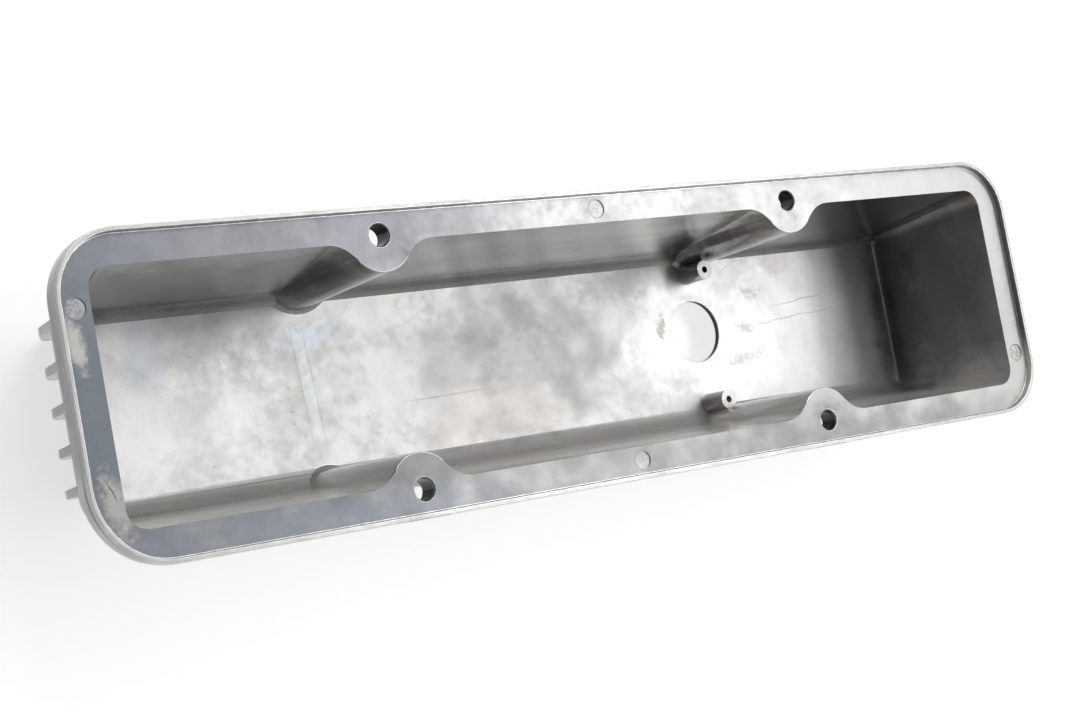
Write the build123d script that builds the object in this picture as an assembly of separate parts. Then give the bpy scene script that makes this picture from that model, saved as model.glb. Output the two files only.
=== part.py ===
# Finned valve cover for a V engine's rocker gear, cast in aluminium as one piece.
# Millimetres. The open side faces up, the gasket face is z = 0, X runs along the cover,
# and the origin is the centre of the four bolt holes.
import os
from math import radians, sin, tan

from build123d import *

# Rim
cover_length = 470.0
cover_width = 118.4
left_plus_corner_radius = 25.0
left_minus_corner_radius = 29.5
right_corner_radius = 24.0
rim_width = 13.4
rim_thickness = 6.0
rim_draft = 4.0
parting_height = -1.5
lip_width = 2.0
lip_height = 3.0

# Hollow
cavity_depth = 70.3
opening_corner_radius = 8.0
floor_corner_radius = 5.0
side_draft = 6.2
left_end_draft = 12.5
right_end_draft = 1.3
floor_edge_plus = 35.0
floor_edge_minus = 31.3
floor_edge_left = 205.0
floor_edge_right = 218.9
side_cove_height = 9.0
end_cove_height = 5.0

# Walls
wall = 3.2
wall_at_panel = 2.6
panel_thickness = 3.0
body_corner_radius = 12.0
body_edge_radius = 6.0

# Bolts, with their bosses inside and their wells outside
bolt_spacing_x = 206.6
bolt_spacing_y = 96.5
bolt_hole_diameter = 8.5
bolt_hole_chamfer = 0.5
boss_radius = 14.2
boss_blend_radius = 14.0
boss_strip_length = 85.0
boss_draft = 1.2
boss_foot_height = 3.0
boss_foot_slope = 66.0
boss_foot_steps = 3
pad_thickness = 9.0

# Fins
fin_count = 5
fin_pitch = 15.15
fin_centre_y = 3.2
fin_tip_height = 83.0
fin_tip_thickness = 2.0
fin_tip_radius = 0.8
fin_draft = 1.6
fin_end_left = 207.0
fin_end_right = 216.0
fin_end_slope = 25.0
fin_end_radius = 9.0
fin_knee_height = 63.5
fin_knee_radius = 20.0
fin_upright_slope = 5.5

# Breather hole, and the round clearing that it has among the fins
breather_diameter = 28.2
breather_x = 97.9
breather_y = 3.2
fin_clearing_diameter = 52.0

# Baffle screw posts
post_diameter = 8.5
post_height = 13.7
post_draft = 1.5
post_x = 98.7
post_y_plus = 29.4
post_y_minus = -30.3
pilot_diameter = 3.0
pilot_depth = 11.0

# Ejector pin marks on the gasket face
mark_diameter = 7.6
mark_depth = 0.4
mark_inset = 7.7
end_mark_y = 32.0

# Clear length that a cutting shape runs past the metal
overrun = 2.0

opening_length = cover_length - 2 * rim_width
opening_width = cover_width - 2 * rim_width
floor_z = -cavity_depth
panel_z = -(cavity_depth + panel_thickness)
bolt_places = [
    (side_x * bolt_spacing_x / 2, side_y * bolt_spacing_y / 2, side_y)
    for side_x in (-1, 1)
    for side_y in (-1, 1)
]


def half_width_at(depth, outward=0.0):
    return opening_width / 2 + outward - depth * tan(radians(side_draft))


def left_x_at(depth, outward=0.0):
    return -opening_length / 2 - outward + depth * tan(radians(left_end_draft))


def right_x_at(depth, outward=0.0):
    return opening_length / 2 + outward - depth * tan(radians(right_end_draft))


def hollow_plan(depth, radius):
    left = left_x_at(depth)
    right = right_x_at(depth)
    plan = RectangleRounded(right - left, 2 * half_width_at(depth), radius)
    return Pos((left + right) / 2, 0, -depth) * plan


# Outline of the rim, drawn in from its edge; its corners aren't all equally round
def rim_plan(inset, z):
    plan = Rectangle(cover_length - 2 * inset, cover_width - 2 * inset)
    left_end = plan.vertices().group_by(Axis.X)[0].sort_by(Axis.Y)
    plan = fillet(left_end[0], left_minus_corner_radius - inset)
    left_end = plan.vertices().group_by(Axis.X)[0].sort_by(Axis.Y)
    plan = fillet(left_end[-1], left_plus_corner_radius - inset)
    plan = fillet(plan.vertices().group_by(Axis.X)[-1], right_corner_radius - inset)
    return Plane.XY.offset(z) * plan


def rim():
    outline = rim_plan(0, parting_height)
    above = extrude(outline, amount=lip_height - parting_height, taper=rim_draft)
    below = extrude(outline, amount=-(rim_thickness + parting_height), taper=rim_draft)
    return above + below - extrude(rim_plan(lip_width, 0), amount=lip_height + overrun)


def bolt_pads():
    outline = extrude(rim_plan(0, 0), amount=-pad_thickness)
    pads = [
        Pos(x, y, -pad_thickness / 2) * Cylinder(boss_radius, pad_thickness) for x, y, side in bolt_places
    ]
    return [pad & outline for pad in pads]


# Outside of the trough: two tapered sections crossed, with rounded corners and lower edges
def body():
    depth = cavity_depth + panel_thickness
    across = make_face(
        Polyline(
            (half_width_at(0, wall), 0),
            (half_width_at(depth, wall_at_panel), -depth),
            (-half_width_at(depth, wall_at_panel), -depth),
            (-half_width_at(0, wall), 0),
            close=True,
        )
    )
    along = make_face(
        Polyline(
            (right_x_at(0, wall), 0),
            (right_x_at(depth, wall_at_panel), -depth),
            (left_x_at(depth, wall_at_panel), -depth),
            (left_x_at(0, wall), 0),
            close=True,
        )
    )
    trough = extrude(Plane.YZ * across, amount=cover_length, both=True)
    trough &= extrude(Plane.XZ * along, amount=cover_width, both=True)
    level_edges = trough.edges().group_by(Axis.Z)
    trough = fillet(level_edges[1:-1][0], body_corner_radius)
    return fillet(trough.faces().sort_by(Axis.Z)[0].edges(), body_edge_radius)


# The hollow's cross-section: a flat floor with a cove up to each long wall
def cross_section():
    cove_depth = cavity_depth - side_cove_height
    wall_y = half_width_at(cove_depth)
    slope = tan(radians(side_draft))
    top_y = half_width_at(0)
    plus_cove = TangentArc((wall_y, -cove_depth), (floor_edge_plus, floor_z), tangent=(-slope, -1))
    minus_cove = TangentArc((-wall_y, -cove_depth), (-floor_edge_minus, floor_z), tangent=(slope, -1))
    walls_and_floor = [
        Line((top_y, 0), (wall_y, -cove_depth)),
        plus_cove,
        Line((floor_edge_plus, floor_z), (-floor_edge_minus, floor_z)),
        minus_cove,
        Line((-wall_y, -cove_depth), (-top_y, 0)),
        Line((-top_y, 0), (top_y, 0)),
    ]
    return make_face(walls_and_floor)


# The hollow's lengthwise section, with a small cove up to each end wall
def length_section():
    cove_depth = cavity_depth - end_cove_height
    left_x = left_x_at(cove_depth)
    right_x = right_x_at(cove_depth)
    left_slope = tan(radians(left_end_draft))
    right_slope = tan(radians(right_end_draft))
    below = floor_z - overrun
    outline = [
        Line((right_x_at(0), 0), (right_x, -cove_depth)),
        TangentArc((right_x, -cove_depth), (floor_edge_right, floor_z), tangent=(-right_slope, -1)),
        Polyline(
            (floor_edge_right, floor_z),
            (floor_edge_right, below),
            (-floor_edge_left, below),
            (-floor_edge_left, floor_z),
        ),
        TangentArc((left_x, -cove_depth), (-floor_edge_left, floor_z), tangent=(left_slope, -1)),
        Line((left_x, -cove_depth), (left_x_at(0), 0)),
        Line((left_x_at(0), 0), (right_x_at(0), 0)),
    ]
    return make_face(outline)


# Plan of one boss: a lobe round the bolt hole, blended into the edge of the opening
def boss_plan(x, y, side):
    strip_depth = rim_width + overrun
    strip = Pos(x, side * (opening_width + strip_depth) / 2) * Rectangle(boss_strip_length, strip_depth)
    plan = strip + Pos(x, y) * Circle(boss_radius)
    notches = [
        corner
        for corner in plan.vertices()
        if abs(corner.Y) < cover_width / 2 and abs(corner.X - x) < boss_radius
    ]
    return fillet(notches, boss_blend_radius)


# Boss down to the floor, with a cove round its foot in a few straight steps
def boss_column(x, y, side):
    column = extrude(
        boss_plan(x, y, side), amount=-(cavity_depth - boss_foot_height), taper=-boss_draft
    )
    arc_radius = boss_foot_height / (sin(radians(boss_foot_slope)) - sin(radians(boss_draft)))
    step_angle = (boss_foot_slope - boss_draft) / boss_foot_steps
    for step in range(boss_foot_steps):
        start = boss_draft + step * step_angle
        drop = arc_radius * (sin(radians(start + step_angle)) - sin(radians(start)))
        foot = column.faces().sort_by(Axis.Z)[0]
        column += extrude(foot, amount=drop, taper=-(start + step_angle / 2))
    foot = column.faces().sort_by(Axis.Z)[0]
    return column + extrude(foot, amount=overrun)


# Half-round well that lets the bolt's head down to its pad, open to the outside
def bolt_well(x, y, side):
    well_radius = boss_radius - wall
    mouth = cover_width / 2 + overrun - bolt_spacing_y / 2 + well_radius
    plan = Plane.XY.offset(-pad_thickness) * (
        Pos(x, y) * Circle(well_radius)
        + Pos(x, y + side * mouth / 2) * Rectangle(2 * well_radius, mouth)
    )
    return extrude(plan, amount=-(fin_tip_height - pad_thickness), taper=-boss_draft)


def cavity():
    floor_plan = hollow_plan(cavity_depth + overrun, floor_corner_radius)
    tub = loft([hollow_plan(0, opening_corner_radius), floor_plan], ruled=True)
    across = extrude(Plane.YZ * cross_section(), amount=opening_length / 2 + overrun, both=True)
    along = extrude(Plane.XZ * length_section(), amount=opening_width / 2 + overrun, both=True)
    hollow = tub & across & along
    for place in bolt_places:
        hollow -= boss_column(*place)
    return hollow


# Side view of every fin: its ends slope up from the tip, then steepen towards the rim
def fin_side():
    run_to_knee = (fin_tip_height - fin_knee_height) * tan(radians(fin_end_slope))
    top = -rim_thickness / 2
    run_to_top = run_to_knee + (fin_knee_height + top) * tan(radians(fin_upright_slope))
    side = make_face(
        Polyline(
            (-fin_end_left - run_to_top, top),
            (-fin_end_left - run_to_knee, -fin_knee_height),
            (-fin_end_left, -fin_tip_height),
            (fin_end_right, -fin_tip_height),
            (fin_end_right + run_to_knee, -fin_knee_height),
            (fin_end_right + run_to_top, top),
            close=True,
        )
    )
    side = fillet(side.vertices().group_by(Axis.Y)[1], fin_knee_radius)
    return fillet(side.vertices().group_by(Axis.Y)[0], fin_end_radius)


def fin(y):
    tip = fin_tip_thickness / 2
    top = tip + fin_tip_height * tan(radians(fin_draft))
    profile = make_face(
        Polyline(
            (y - top, 0),
            (y + top, 0),
            (y + tip, -fin_tip_height),
            (y - tip, -fin_tip_height),
            close=True,
        )
    )
    profile = fillet(profile.vertices().group_by(Axis.Y)[0], fin_tip_radius)
    blade = extrude(Plane.YZ * profile, amount=cover_length / 2, both=True)
    return blade & extrude(Plane.XZ * fin_side(), amount=cover_width, both=True)


def fins():
    first = fin_centre_y - (fin_count - 1) / 2 * fin_pitch
    blades = [fin(first + number * fin_pitch) for number in range(fin_count)]
    clearing = Pos(breather_x, breather_y, panel_z) * Cylinder(
        fin_clearing_diameter / 2, fin_tip_height, align=(Align.CENTER, Align.CENTER, Align.MAX)
    )
    return [blade - clearing for blade in blades]


def post(y):
    plan = Plane.XY.offset(floor_z + post_height) * (Pos(post_x, y) * Circle(post_diameter / 2))
    return extrude(plan, amount=-(post_height + panel_thickness / 2), taper=-post_draft)


def post_pilot(y):
    return Pos(post_x, y, floor_z + post_height) * Cylinder(
        pilot_diameter / 2, pilot_depth, align=(Align.CENTER, Align.CENTER, Align.MAX)
    )


def ejector_marks():
    end_x = cover_length / 2 - mark_inset
    side_y = cover_width / 2 - mark_inset
    places = [(-end_x, end_mark_y), (end_x, -end_mark_y), (0, side_y), (0, -side_y)]
    mark = Cylinder(mark_diameter / 2, mark_depth + overrun, align=(Align.CENTER, Align.CENTER, Align.MIN))
    return [Pos(x, y, -mark_depth) * mark for x, y in places]


def bolt_hole(x, y):
    hole = Pos(x, y, 0) * Cylinder(bolt_hole_diameter / 2, 2 * pad_thickness + overrun)
    mouth = Pos(x, y, 0) * Cone(
        bolt_hole_diameter / 2,
        bolt_hole_diameter / 2 + bolt_hole_chamfer,
        bolt_hole_chamfer,
        align=(Align.CENTER, Align.CENTER, Align.MAX),
    )
    return hole + mouth


def valve_cover():
    cover = rim() + body()
    for pad in bolt_pads():
        cover += pad
    for place in bolt_places:
        cover -= bolt_well(*place)
    for blade in fins():
        cover += blade
    cover -= cavity()
    for y in (post_y_plus, post_y_minus):
        cover += post(y)
        cover -= post_pilot(y)
    for x, y, side in bolt_places:
        cover -= bolt_hole(x, y)
    for mark in ejector_marks():
        cover -= mark
    cover -= Pos(breather_x, breather_y, floor_z) * Cylinder(
        breather_diameter / 2, 2 * (panel_thickness + overrun)
    )
    return cover


os.makedirs("parts", exist_ok=True)
cover = valve_cover()
cover.label = "valve_cover"
export_step(cover, "parts/valve_cover.step")
print("valve cover:", len(cover.solids()), "solid,", round(cover.volume / 1000), "cubic centimetres")
print("box:", cover.bounding_box())
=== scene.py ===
# Valve cover of a V engine, cast in aluminium, lying on its fins with the open side up
from itertools import combinations
from math import degrees, radians, sin

import bmesh
import bpy
from mathutils import Matrix, Vector


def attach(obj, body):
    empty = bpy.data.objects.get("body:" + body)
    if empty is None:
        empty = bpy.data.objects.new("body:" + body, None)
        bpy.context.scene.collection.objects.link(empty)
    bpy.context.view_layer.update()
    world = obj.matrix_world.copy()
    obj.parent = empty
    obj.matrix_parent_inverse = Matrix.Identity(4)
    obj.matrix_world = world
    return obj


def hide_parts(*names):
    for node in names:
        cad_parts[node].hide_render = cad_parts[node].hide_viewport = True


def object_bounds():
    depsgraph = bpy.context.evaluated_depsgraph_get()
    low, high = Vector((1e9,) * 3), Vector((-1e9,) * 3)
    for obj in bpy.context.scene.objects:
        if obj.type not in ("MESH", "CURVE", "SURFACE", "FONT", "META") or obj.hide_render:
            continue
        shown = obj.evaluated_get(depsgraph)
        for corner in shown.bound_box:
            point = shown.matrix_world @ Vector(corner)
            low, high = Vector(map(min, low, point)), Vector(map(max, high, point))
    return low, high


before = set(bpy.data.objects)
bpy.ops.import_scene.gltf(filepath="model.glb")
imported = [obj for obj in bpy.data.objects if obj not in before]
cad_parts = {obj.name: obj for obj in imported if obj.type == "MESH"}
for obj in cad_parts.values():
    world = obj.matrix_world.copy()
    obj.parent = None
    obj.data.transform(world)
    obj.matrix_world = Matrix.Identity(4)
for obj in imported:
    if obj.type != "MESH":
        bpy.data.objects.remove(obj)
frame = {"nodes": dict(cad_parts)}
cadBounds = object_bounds()
scene = bpy.context.scene
scene.view_settings.view_transform = "Standard"
lowest = Vector(cadBounds[0])
print("frame loaded, nodes:", ", ".join(frame["nodes"]))


# small helpers for node trees
def newNode(tree, kind, **settings):
    node = tree.nodes.new(kind)
    for name, value in settings.items():
        setattr(node, name, value)
    return node


def plug(tree, source, target):
    tree.links.new(source, target)


def newMaterial(name):
    material = bpy.data.materials.new(name)
    material.use_nodes = True
    tree = material.node_tree
    tree.nodes.clear()
    output = newNode(tree, "ShaderNodeOutputMaterial")
    return material, tree, output


def noise(tree, coords, scale, detail=4.0, roughness=0.5, stretch=(1, 1, 1)):
    if stretch != (1, 1, 1):
        mapping = newNode(tree, "ShaderNodeMapping")
        mapping.inputs["Scale"].default_value = stretch
        plug(tree, coords, mapping.inputs["Vector"])
        coords = mapping.outputs["Vector"]
    node = newNode(tree, "ShaderNodeTexNoise")
    node.inputs["Scale"].default_value = scale
    node.inputs["Detail"].default_value = detail
    node.inputs["Roughness"].default_value = roughness
    plug(tree, coords, node.inputs["Vector"])
    return node.outputs["Fac"]


def remap(tree, value, low, high, toLow=0.0, toHigh=1.0):
    node = newNode(tree, "ShaderNodeMapRange", interpolation_type="SMOOTHSTEP")
    node.inputs["From Min"].default_value = low
    node.inputs["From Max"].default_value = high
    node.inputs["To Min"].default_value = toLow
    node.inputs["To Max"].default_value = toHigh
    plug(tree, value, node.inputs["Value"])
    return node.outputs["Result"]


def maths(tree, operation, first, second):
    node = newNode(tree, "ShaderNodeMath", operation=operation)
    for socket, value in zip(node.inputs, (first, second)):
        if isinstance(value, (int, float)):
            socket.default_value = value
        else:
            plug(tree, value, socket)
    return node.outputs[0]


def mixColour(tree, factor, first, second):
    node = newNode(tree, "ShaderNodeMix", data_type="RGBA")
    for socket, value in ((node.inputs[0], factor), (node.inputs[6], first), (node.inputs[7], second)):
        if isinstance(value, (int, float, tuple)):
            socket.default_value = value
        else:
            plug(tree, value, socket)
    return node.outputs[2]


# as-cast aluminium: base tones, then oxide, rubbed places, marks, and painted light and shade
aluminium = {
    "bright": (0.64, 0.63, 0.61, 1),
    "dull": (0.56, 0.555, 0.545, 1),
    "roughLow": 0.38,
    "roughHigh": 0.48,
    "wallRough": 0.20,
    # upright walls are painted darker: painted shade
    "wallShade": (0.42, 0.41, 0.395, 1),
    "cloudScale": 34,
    "mottleScale": 240,
    "grainScale": 1500,
    "waveScale": 70,
    "wobbleScale": 110,
    "grainStrength": 0.10,
    "grainDepth": 0.0004,
    "waveStrength": 0.10,
    "waveDepth": 0.002,
    "streak": (0.40, 0.36, 0.33, 1),
    "streakStretch": (7, 60, 160),
    "streakAmount": 0.6,
    "wallShadeAmount": 0.85,
    "pit": (0.30, 0.30, 0.31, 1),
    "pitScale": 420,
}
# painted shade on the outer faces
outsideShade = {"tone": (0.20, 0.20, 0.195, 1), "amount": 0.8, "level": -0.0735, "endX": -0.19}
bores = {
    "places": ((-0.1033, 0.04825, 0.0048), (0.1033, 0.04825, 0.0048), (-0.1033, -0.04825, 0.0048),
               (0.1033, -0.04825, 0.0048), (0.0979, 0.0032, 0.0146)),
    "tone": (0.035, 0.032, 0.03, 1),
}
chalk = {
    "place": (0.0, -0.0375, -0.018),
    "reach": (0.6, 0.018, 0.070),
    "metal": 0.88,
    "chalkMetal": 0.0,
    "rough": 0.14,
}
floorLevel = -0.0703    # inside face of the panel
jointLevel = 0.0        # gasket face

# a patch of stain, painted light or painted shade is full up to its core and ends at its reach; its edge
# breaks up by a noise
patchEdge = {"core": 0.25, "end": 1.0, "swing": 3, "detail": 5, "roughness": 0.65}

# stains and painted light and shade: place, reach, turn about Z, colour, amount, edge breakup and its scale
stainsAndPaintedLight = {
    # lighter floor at the left end
    "floorLeftLighter": ((-0.185, -0.004, floorLevel), (0.080, 0.050, 0.003), 0, (0.74, 0.73, 0.70), 0.8, 0.3, 50),
    # painted light on the right part of the floor
    "floorRightLit": ((0.150, 0.0, floorLevel), (0.125, 0.060, 0.003), 0, (0.84, 0.835, 0.815), 0.9, 0.3, 50),
    # painted light on the floor by the end wall, over the end wall's shadow
    "floorCornerLit": ((0.200, -0.002, floorLevel), (0.024, 0.044, 0.003),
        0, (0.97, 0.965, 0.95), 0.9, 0.3, 60),
    # painted light on the lower wall, where the lamp behind falls
    "lowWallLit": ((0.0, -0.0375, -0.018), (0.600, 0.018, 0.070), 0, (0.98, 0.94, 0.88), 1.0, 0.05, 60),
    # painted shade on the left part of the upper wall
    "leftWallShade": ((-0.175, 0.0400, -0.032), (0.150, 0.014, 0.050),
        0, (0.15, 0.145, 0.14), 0.95, 0.4, 60),
    # painted shade on the two columns of the upper wall
    "columnLeftShade": ((-0.1033, 0.0400, -0.034), (0.024, 0.022, 0.036), 0, (0.17, 0.17, 0.17), 0.85, 0.5, 100),
    "columnRightShade": ((0.1033, 0.0400, -0.034), (0.024, 0.022, 0.036),
        0, (0.16, 0.16, 0.155), 0.85, 0.5, 100),
    # painted shade on the end wall and its foot, which the lamps do not reach
    "endWallShade": ((0.2230, 0.0, -0.036), (0.008, 0.080, 0.040), 0, (0.28, 0.28, 0.28), 0.8, 0.5, 60),
    "endFootShade": ((0.2205, 0.0, -0.064), (0.014, 0.080, 0.024), 0, (0.17, 0.17, 0.17), 0.85, 0.4, 60),
    # painted shade on the left side of the flange
    "flangeSideShade": ((-0.2375, 0.030, -0.0035), (0.006, 0.070, 0.0060),
        0, (0.16, 0.16, 0.165), 0.9, 0.2, 100),
    # painted shade toward the left end of the gasket face, partly its dull oxide
    "jointShadeAndOxide": ((-0.260, 0.0, jointLevel), (0.360, 0.300, 0.0012), 0, (0.30, 0.305, 0.32), 0.8, 0.3, 50),
    # painted shade along the lower rim of the gasket face
    "jointLowerShade": ((0.060, -0.058, jointLevel), (0.230, 0.022, 0.0012),
        0, (0.28, 0.28, 0.285), 0.85, 0.5, 60),
    # painted light on the right end of the gasket face
    "jointRightLit": ((0.190, 0.040, jointLevel), (0.120, 0.060, 0.0012), 0, (0.70, 0.70, 0.69), 0.8, 0.3, 60),
    "bossLeftBack": ((-0.103, 0.046, jointLevel), (0.030, 0.024, 0.0012),
        0, (0.27, 0.27, 0.285), 0.65, 0.6, 100),
    # bluish oxide on the left end of the gasket face, partly painted shade
    "leftOxideAndShade": ((-0.238, 0.0, jointLevel), (0.075, 0.09, 0.0006), 0, (0.18, 0.20, 0.23), 0.85, 0.25, 50),
    "lowerOxide": ((-0.150, -0.056, jointLevel), (0.110, 0.022, 0.0006),
        0, (0.22, 0.235, 0.26), 0.75, 0.3, 50),
    "upperOxide": ((-0.150, 0.054, jointLevel), (0.120, 0.020, 0.0006),
        0, (0.27, 0.275, 0.30), 0.7, 0.5, 60),
    "rubbedUpper": ((-0.2294, 0.0195, jointLevel), (0.0045, 0.0125, 0.0006),
        8, (0.66, 0.64, 0.57), 0.75, 0.5, 300),
    "rubbedLower": ((-0.2245, -0.0360, jointLevel), (0.0062, 0.0145, 0.0006),
        14, (0.70, 0.68, 0.62), 0.8, 0.5, 300),
    "midDull": ((-0.030, 0.0, floorLevel), (0.110, 0.060, 0.003), 0, (0.47, 0.465, 0.455), 0.75, 0.3, 60),
    "greyField": ((0.000, 0.002, floorLevel), (0.066, 0.040, 0.003), 0, (0.31, 0.305, 0.295), 0.8, 0.7, 60),
    "greyFieldRight": ((0.050, 0.014, floorLevel), (0.028, 0.020, 0.003),
        0, (0.43, 0.42, 0.40), 0.55, 0.8, 100),
    "brownField": ((-0.020, -0.022, floorLevel), (0.050, 0.018, 0.003),
        0, (0.50, 0.46, 0.42), 0.45, 0.8, 100),
    "blueLeft": ((-0.176, 0.020, floorLevel), (0.014, 0.020, 0.003), 0, (0.50, 0.55, 0.62), 0.38, 0.4, 60),
    "blueMid": ((-0.102, 0.022, floorLevel), (0.022, 0.007, 0.003), 0, (0.52, 0.57, 0.65), 0.55, 0.5, 100),
    "violetBand": ((-0.155, 0.034, floorLevel), (0.040, 0.010, 0.003),
        0, (0.38, 0.37, 0.39), 0.65, 0.5, 60),
    "smudgeLeft": ((0.0785, 0.0065, floorLevel), (0.0035, 0.0070, 0.003),
        -12, (0.33, 0.31, 0.29), 0.8, 0.9, 550),
    "smudgeRight": ((0.1280, 0.0022, floorLevel), (0.0070, 0.0035, 0.003),
        -20, (0.40, 0.40, 0.41), 0.5, 1.1, 550),
    "speckleUpper": ((0.1345, 0.0180, floorLevel), (0.0080, 0.0035, 0.003),
        -15, (0.38, 0.38, 0.39), 0.5, 1.2, 550),
    "speckleLower": ((0.1255, -0.0120, floorLevel), (0.0120, 0.0030, 0.003),
        6, (0.38, 0.38, 0.38), 0.5, 1.2, 550),
    "rustA": ((0.1570, 0.0290, floorLevel), (0.0090, 0.0030, 0.003), 0, (0.72, 0.60, 0.54), 0.35, 1.1, 300),
    "rustB": ((0.1654, 0.0190, floorLevel), (0.0060, 0.0040, 0.003), 0, (0.74, 0.63, 0.58), 0.3, 1.1, 300),
    "rustC": ((0.1762, -0.0099, floorLevel), (0.0060, 0.0050, 0.003),
        0, (0.72, 0.58, 0.54), 0.35, 1.1, 300),
}

# thin marks: centre, half length and half width, turn, colour, amount, waver
markEdge = {"core": 0.4, "depth": 0.002}
marks = {
    "insertLine": ((-0.1050, 0.0015, floorLevel), (0.0032, 0.0340), 2.7, (0.62, 0.66, 0.66), 0.55, 0.0),
    "insertEdgeLeft": ((-0.1079, 0.0015, floorLevel), (0.0004, 0.0330),
        2.7, (0.38, 0.40, 0.41), 0.6, 0.0006),
    "insertEdgeRight": ((-0.1021, 0.0015, floorLevel), (0.0004, 0.0330),
        2.7, (0.38, 0.40, 0.41), 0.6, 0.0006),
    "dragMark": ((-0.0400, -0.0095, floorLevel), (0.0260, 0.0005), 0.8, (0.33, 0.29, 0.27), 0.8, 0.0005),
    "scribeUpper": ((0.1662, 0.0140, floorLevel), (0.0230, 0.0004), 4, (0.42, 0.42, 0.44), 0.7, 0.0040),
    "scribeLower": ((0.1580, 0.0062, floorLevel), (0.0340, 0.0004), 4, (0.42, 0.42, 0.44), 0.6, 0.0035),
    "scribeFine": ((0.1240, 0.0317, floorLevel), (0.0070, 0.0003), 28, (0.36, 0.36, 0.38), 0.6, 0.0006),
    "gouge": ((-0.2244, -0.0300, jointLevel), (0.0004, 0.0055), 18, (0.16, 0.15, 0.14), 0.9, 0.0030),
}
discs = {
    "places": ((-0.2273, 0.032), (0.2273, -0.032), (0.0, 0.0515), (0.0, -0.0515)),
    "radius": 0.0038,
    "speckle": (0.46, 0.47, 0.48, 1),
    "speckleScale": 900,
    "outline": (0.12, 0.12, 0.12, 1),
    "outlineWidth": 0.00045,
}


def centred(tree, coords, place, reach, turn):
    mapping = newNode(tree, "ShaderNodeMapping", vector_type="TEXTURE")
    mapping.inputs["Location"].default_value = place
    mapping.inputs["Rotation"].default_value = (0, 0, radians(turn))
    mapping.inputs["Scale"].default_value = reach
    plug(tree, coords, mapping.inputs["Vector"])
    return mapping.outputs["Vector"]


def lengthOf(tree, vector):
    node = newNode(tree, "ShaderNodeVectorMath", operation="LENGTH")
    plug(tree, vector, node.inputs[0])
    return node.outputs["Value"]


def stainAndLightPatch(tree, coords, breakups, colour, settings):
    place, reach, turn, tint, amount, breakup, scale = settings
    distance = lengthOf(tree, centred(tree, coords, place, reach, turn))
    ragged = maths(tree, "MULTIPLY", breakups[scale], breakup * patchEdge["swing"])
    mask = remap(tree, maths(tree, "ADD", distance, ragged), patchEdge["core"], patchEdge["end"], amount, 0.0)
    return mixColour(tree, mask, colour, (*tint, 1))


def mark(tree, coords, wobble, colour, settings):
    place, reach, turn, tint, amount, waver = settings
    bent = newNode(tree, "ShaderNodeVectorMath", operation="MULTIPLY_ADD")
    plug(tree, wobble, bent.inputs[0])
    bent.inputs[1].default_value = (waver, waver, 0)
    plug(tree, coords, bent.inputs[2])
    distance = lengthOf(tree, centred(tree, bent.outputs[0], place, (*reach, markEdge["depth"]), turn))
    mask = remap(tree, distance, markEdge["core"], 1.0, amount, 0.0)
    return mixColour(tree, mask, colour, (*tint, 1))


def ejectorDiscs(tree, coords, colour):
    speck = noise(tree, coords, discs["speckleScale"], 2)
    for x, y in discs["places"]:
        local = centred(tree, coords, (x, y, jointLevel), (1, 1, 1), 0)
        distance = lengthOf(tree, local)
        inside = remap(tree, distance, discs["radius"] * 0.9, discs["radius"], 0.8, 0.0)
        dotted = maths(tree, "MULTIPLY", remap(tree, speck, 0.42, 0.6), inside)
        colour = mixColour(tree, dotted, colour, discs["speckle"])
        gap = maths(tree, "ABSOLUTE", maths(tree, "SUBTRACT", distance, discs["radius"]), 0)
        ring = remap(tree, gap, 0.0, discs["outlineWidth"], 0.75, 0.0)
        colour = mixColour(tree, ring, colour, discs["outline"])
    return colour


def boreShade(tree, coords, upright, colour):
    for x, y, radius in bores["places"]:
        distance = lengthOf(tree, centred(tree, coords, (x, y, 0), (1, 1, 1000), 0))
        within = maths(tree, "MULTIPLY", maths(tree, "LESS_THAN", distance, radius), upright)
        colour = mixColour(tree, within, colour, bores["tone"])
    return colour


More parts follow.
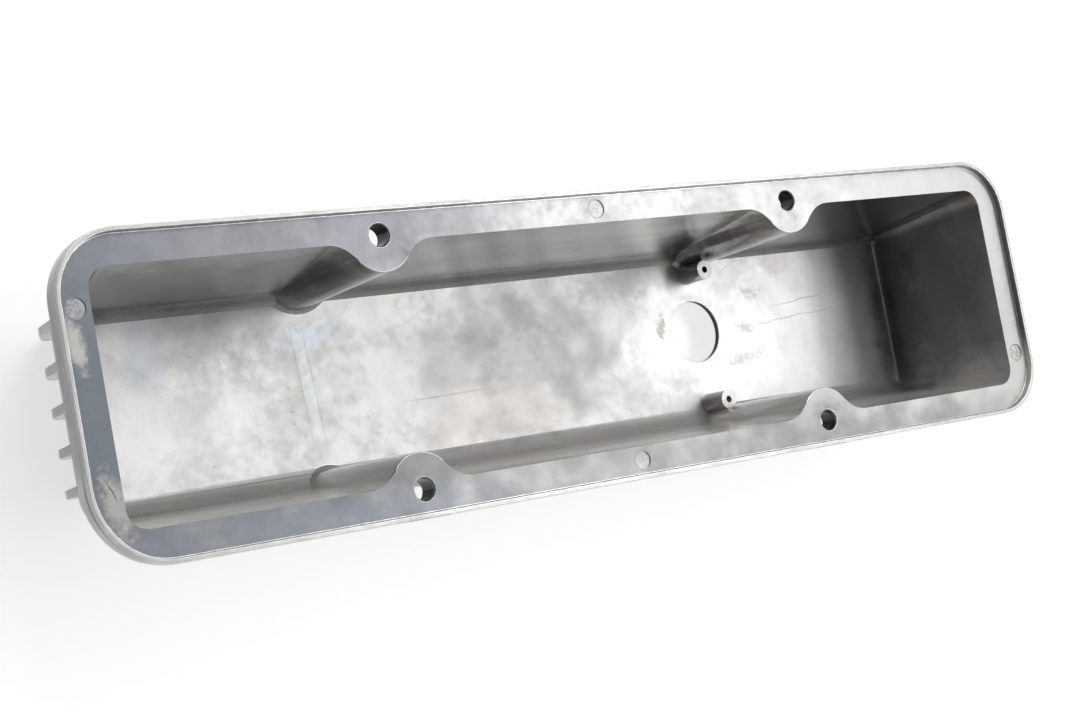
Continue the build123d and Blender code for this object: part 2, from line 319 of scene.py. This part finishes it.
def castAluminium():
    material, tree, output = newMaterial("castAluminium")
    shader = newNode(tree, "ShaderNodeBsdfPrincipled")
    plug(tree, shader.outputs["BSDF"], output.inputs["Surface"])
    coords = newNode(tree, "ShaderNodeTexCoord").outputs["Object"]
    cloud = noise(tree, coords, aluminium["cloudScale"], 6, 0.6)
    mottle = noise(tree, coords, aluminium["mottleScale"], 6, 0.65)
    patchy = maths(tree, "ADD", maths(tree, "MULTIPLY", cloud, 0.6), maths(tree, "MULTIPLY", mottle, 0.4))
    colour = mixColour(tree, remap(tree, patchy, 0.40, 0.64), aluminium["bright"], aluminium["dull"])

    # painted shade on the outer faces: below the panel, and the faces of the left end that turn to -X
    facing = newNode(tree, "ShaderNodeSeparateXYZ")
    plug(tree, newNode(tree, "ShaderNodeNewGeometry").outputs["Normal"], facing.inputs[0])
    spot = newNode(tree, "ShaderNodeSeparateXYZ")
    plug(tree, coords, spot.inputs[0])
    below = maths(tree, "LESS_THAN", spot.outputs["Z"], outsideShade["level"])
    endward = maths(tree, "MULTIPLY", maths(tree, "LESS_THAN", spot.outputs["X"], outsideShade["endX"]),
                   remap(tree, facing.outputs["X"], -0.5, -0.2, 1.0, 0.0))
    outer = maths(tree, "MULTIPLY", maths(tree, "MAXIMUM", below, endward), outsideShade["amount"])
    colour = mixColour(tree, outer, colour, outsideShade["tone"])

    # painted shade on the upright walls, and drawn streaks on them
    upright = remap(tree, maths(tree, "ABSOLUTE", facing.outputs["Z"], 0), 0.3, 0.8, 1.0, 0.0)
    wallShading = maths(tree, "MULTIPLY", upright, maths(tree, "SUBTRACT", aluminium["wallShadeAmount"], outer))
    colour = mixColour(tree, wallShading, colour, aluminium["wallShade"])
    streaks = noise(tree, coords, 1.0, 5, 0.6, aluminium["streakStretch"])
    streaks = remap(tree, streaks, 0.45, 0.65, 0.0, aluminium["streakAmount"])
    colour = mixColour(tree, maths(tree, "MULTIPLY", streaks, upright), colour, aluminium["streak"])

    # pits cluster where the cloud is dark
    pits = remap(tree, noise(tree, coords, aluminium["pitScale"], 2), 0.66, 0.72)
    pitted = maths(tree, "MULTIPLY", pits, remap(tree, cloud, 0.48, 0.6, 0.1, 0.7))
    colour = mixColour(tree, pitted, colour, aluminium["pit"])

    wobble = newNode(tree, "ShaderNodeTexNoise")
    wobble.inputs["Scale"].default_value = aluminium["wobbleScale"]
    plug(tree, coords, wobble.inputs["Vector"])
    chalked = lengthOf(tree, centred(tree, coords, chalk["place"], chalk["reach"], 0))
    plug(tree, remap(tree, chalked, 0.3, 1.0, chalk["chalkMetal"], chalk["metal"]), shader.inputs["Metallic"])
    # one noise for each scale that the stains and painted patches use
    breakups = {}
    for scale in sorted({settings[-1] for settings in stainsAndPaintedLight.values()}):
        rough = noise(tree, coords, scale, patchEdge["detail"], patchEdge["roughness"])
        breakups[scale] = maths(tree, "SUBTRACT", rough, 0.5)
    for settings in stainsAndPaintedLight.values():
        colour = stainAndLightPatch(tree, coords, breakups, colour, settings)
    for settings in marks.values():
        colour = mark(tree, coords, wobble.outputs["Color"], colour, settings)
    colour = ejectorDiscs(tree, coords, colour)
    colour = boreShade(tree, coords, upright, colour)
    plug(tree, colour, shader.inputs["Base Color"])

    rough = remap(tree, patchy, 0.4, 0.62, aluminium["roughLow"], aluminium["roughHigh"])
    burnished = newNode(tree, "ShaderNodeMix")
    plug(tree, upright, burnished.inputs["Factor"])
    plug(tree, rough, burnished.inputs["A"])
    plug(tree, remap(tree, chalked, 0.3, 1.0, chalk["rough"], aluminium["wallRough"]), burnished.inputs["B"])
    plug(tree, burnished.outputs["Result"], shader.inputs["Roughness"])
    grain = newNode(tree, "ShaderNodeBump")
    grain.inputs["Strength"].default_value = aluminium["grainStrength"]
    grain.inputs["Distance"].default_value = aluminium["grainDepth"]
    plug(tree, noise(tree, coords, aluminium["grainScale"], 3), grain.inputs["Height"])
    waves = newNode(tree, "ShaderNodeBump")
    waves.inputs["Strength"].default_value = aluminium["waveStrength"]
    waves.inputs["Distance"].default_value = aluminium["waveDepth"]
    plug(tree, noise(tree, coords, aluminium["waveScale"], 2), waves.inputs["Height"])
    plug(tree, waves.outputs["Normal"], grain.inputs["Normal"])
    plug(tree, grain.outputs["Normal"], shader.inputs["Normal"])
    return material


# edges rubbed bright by handling
wornEdge = {"colour": (0.93, 0.91, 0.86, 1), "dull": (0.70, 0.69, 0.66, 1), "rough": 0.30, "breakScale": 260}


def wornAluminium():
    material, tree, output = newMaterial("wornAluminium")
    shader = newNode(tree, "ShaderNodeBsdfPrincipled")
    shader.inputs["Metallic"].default_value = 1.0
    shader.inputs["Roughness"].default_value = wornEdge["rough"]
    plug(tree, shader.outputs["BSDF"], output.inputs["Surface"])
    coords = newNode(tree, "ShaderNodeTexCoord").outputs["Object"]
    rubbed = remap(tree, noise(tree, coords, wornEdge["breakScale"], 5, 0.6), 0.4, 0.6)
    plug(tree, mixColour(tree, rubbed, wornEdge["colour"], wornEdge["dull"]), shader.inputs["Base Color"])
    return material


# the casting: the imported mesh, merged, smoothed and given small edge radii
casting = {
    "mergeDistance": 0.00001,
    "flatAngle": 0.5,       # faces this close to flat are joined, degrees
    "creaseAngle": 24,      # an edge is crisp from here
    "openCorner": 80,
    "straight": 0.5,        # a bend between these runs on
    "bend": 60,
    "edgeRadius": 0.0006,
    "edgeSteps": 2,
    "edgeShare": 0.33,      # of the room beside an edge
    "leastWeight": 0.12,
}


# widest radius that the faces, corners and side edges next to an edge can take
def roomBeside(edge):
    room = [edge.calc_length()]
    room += [2 * face.calc_area() / face.calc_perimeter() for face in edge.link_faces]
    for face in edge.link_faces:
        for loop in face.loops:
            if edge not in (loop.edge, loop.link_loop_prev.edge):
                continue
            beside = loop.link_loop_prev.edge if loop.edge == edge else loop.edge
            turn = loop.calc_angle()
            slide = sin(turn) if beside.smooth else sin(turn / 2)
            if turn < radians(casting["openCorner"]) or beside.smooth:
                room.append(abs(slide) * beside.calc_length())
    return min(room)


# crisp edges that run on into each other at a slight bend share the smaller radius
def evenOut(mesh, weights):
    runsOn = {}
    for vert in mesh.verts:
        crisp = [edge for edge in vert.link_edges if not edge.smooth]
        for first, second in combinations(crisp, 2):
            ahead = first.other_vert(vert).co - vert.co
            behind = vert.co - second.other_vert(vert).co
            if casting["straight"] < degrees(ahead.angle(behind)) < casting["bend"]:
                runsOn.setdefault(first, []).append(second)
                runsOn.setdefault(second, []).append(first)
    for start in sorted(runsOn, key=lambda edge: edge[weights]):
        waiting = [start]
        while waiting:
            edge = waiting.pop()
            for beside in runsOn[edge]:
                if beside[weights] > edge[weights]:
                    beside[weights] = edge[weights]
                    waiting.append(beside)


def buildCasting():
    node = frame["nodes"]["valve_cover"]
    piece = node.copy()
    piece.data = node.data.copy()
    piece.name = "casting"
    bpy.context.collection.objects.link(piece)
    piece.parent = None
    mesh = bmesh.new()
    mesh.from_mesh(piece.data)
    bmesh.ops.remove_doubles(mesh, verts=mesh.verts, dist=casting["mergeDistance"])
    bmesh.ops.dissolve_limit(
        mesh, angle_limit=radians(casting["flatAngle"]), verts=mesh.verts, edges=mesh.edges,
        use_dissolve_boundaries=False
    )
    for face in mesh.faces:
        face.smooth = True
    for edge in mesh.edges:
        edge.smooth = edge.is_manifold and edge.calc_face_angle(0) < radians(casting["creaseAngle"])
    # crisp edges get a small radius, less where the faces beside them leave no room
    weights = mesh.edges.layers.float.new("bevel_weight_edge")
    for edge in mesh.edges:
        if not edge.smooth:
            edge[weights] = min(1, casting["edgeShare"] * roomBeside(edge) / casting["edgeRadius"])
    evenOut(mesh, weights)
    for edge in mesh.edges:
        if edge[weights] < casting["leastWeight"]:
            edge[weights] = 0
    mesh.to_mesh(piece.data)
    mesh.free()
    piece.data.materials.clear()
    piece.data.materials.append(castAluminium())
    piece.data.materials.append(wornAluminium())
    bevel = piece.modifiers.new("edges", "BEVEL")
    bevel.width = casting["edgeRadius"]
    bevel.segments = casting["edgeSteps"]
    bevel.limit_method = "WEIGHT"
    bevel.use_clamp_overlap = False
    bevel.material = 1
    bevel.harden_normals = True
    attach(piece, "root")
    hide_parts("valve_cover")
    print("casting:", len(piece.data.polygons), "faces")
    return piece


# pale floor that turns white to the camera and keeps the shadow
floor = {"size": 30.0, "colour": (0.82, 0.82, 0.83, 1), "whitening": 0.65}


def buildFloor():
    mesh = bmesh.new()
    bmesh.ops.create_grid(mesh, x_segments=1, y_segments=1, size=floor["size"] / 2)
    bmesh.ops.translate(mesh, verts=mesh.verts, vec=(0, 0, lowest.z))
    data = bpy.data.meshes.new("floor")
    mesh.to_mesh(data)
    mesh.free()
    ground = bpy.data.objects.new("floor", data)
    bpy.context.collection.objects.link(ground)
    material, tree, output = newMaterial("paleFloor")
    paint = newNode(tree, "ShaderNodeBsdfDiffuse")
    paint.inputs["Color"].default_value = floor["colour"]
    rays = newNode(tree, "ShaderNodeLightPath")
    seen = maths(tree, "ADD", rays.outputs["Is Camera Ray"], rays.outputs["Is Glossy Ray"])
    seen = maths(tree, "ADD", seen, rays.outputs["Is Transmission Ray"])
    glow = newNode(tree, "ShaderNodeEmission")
    plug(tree, maths(tree, "MULTIPLY", seen, floor["whitening"]), glow.inputs["Strength"])
    both = newNode(tree, "ShaderNodeAddShader")
    plug(tree, paint.outputs[0], both.inputs[0])
    plug(tree, glow.outputs[0], both.inputs[1])
    plug(tree, both.outputs[0], output.inputs["Surface"])
    data.materials.append(material)
    print("floor at", round(lowest.z, 4))


# a wide soft box over the far end, a second behind, and a room that darkens behind the camera
softBoxes = {
    "overhead": {"distance": 1.33, "height": 53.6, "bearing": 6, "size": (1.2, 0.42), "power": 4.95},
    "behind": {"distance": 1.6, "height": 50, "bearing": 85, "size": (0.9, 0.9), "power": 4.2},
}
room = {
    "dark": (0.045, 0.048, 0.055, 1),
    "light": (0.60, 0.62, 0.65, 1),
    "towards": (0.85, 0.10, 0.50),
    "from": -0.25,
    "to": 1.0,
}


def buildLights():
    for name, box in softBoxes.items():
        lamp = bpy.data.lights.new(name, "AREA")
        lamp.shape = "RECTANGLE"
        lamp.size, lamp.size_y = box["size"]
        lamp.energy = box["power"]
        swung = Matrix.Rotation(radians(box["bearing"]), 3, "Z")
        raised = Matrix.Rotation(-radians(box["height"]), 3, "Y")
        place = swung @ raised @ Vector((box["distance"], 0, 0))
        holder = bpy.data.objects.new(name, lamp)
        holder.location = place
        holder.rotation_euler = (-place).to_track_quat("-Z", "Y").to_euler()
        holder.visible_camera = False
        bpy.context.collection.objects.link(holder)

    world = bpy.data.worlds.new("room")
    scene.world = world
    world.use_nodes = True
    tree = world.node_tree
    direction = newNode(tree, "ShaderNodeTexCoord").outputs["Generated"]
    along = newNode(tree, "ShaderNodeVectorMath", operation="DOT_PRODUCT")
    plug(tree, direction, along.inputs[0])
    along.inputs[1].default_value = room["towards"]
    fade = remap(tree, along.outputs["Value"], room["from"], room["to"])
    plug(tree, mixColour(tree, fade, room["dark"], room["light"]), tree.nodes["Background"].inputs["Color"])
    print("soft boxes:", ", ".join(softBoxes))


# camera, matched to the rim, bolt holes and breather hole
shot = {
    "place": (-0.508167, -0.061039, 0.653005),
    "turn": (10.8648, -34.34218, -12.60375),
    "lens": 68.787,
    "shift": (-0.004276, 0.009067),
}


def buildCamera():
    data = bpy.data.cameras.new("shot")
    data.sensor_width = 36
    data.lens = shot["lens"]
    data.shift_x, data.shift_y = shot["shift"]
    camera = bpy.data.objects.new("shot", data)
    camera.location = shot["place"]
    camera.rotation_euler = [radians(angle) for angle in shot["turn"]]
    bpy.context.collection.objects.link(camera)
    scene.camera = camera
    print("camera placed")


buildCasting()
buildFloor()
buildLights()
buildCamera()
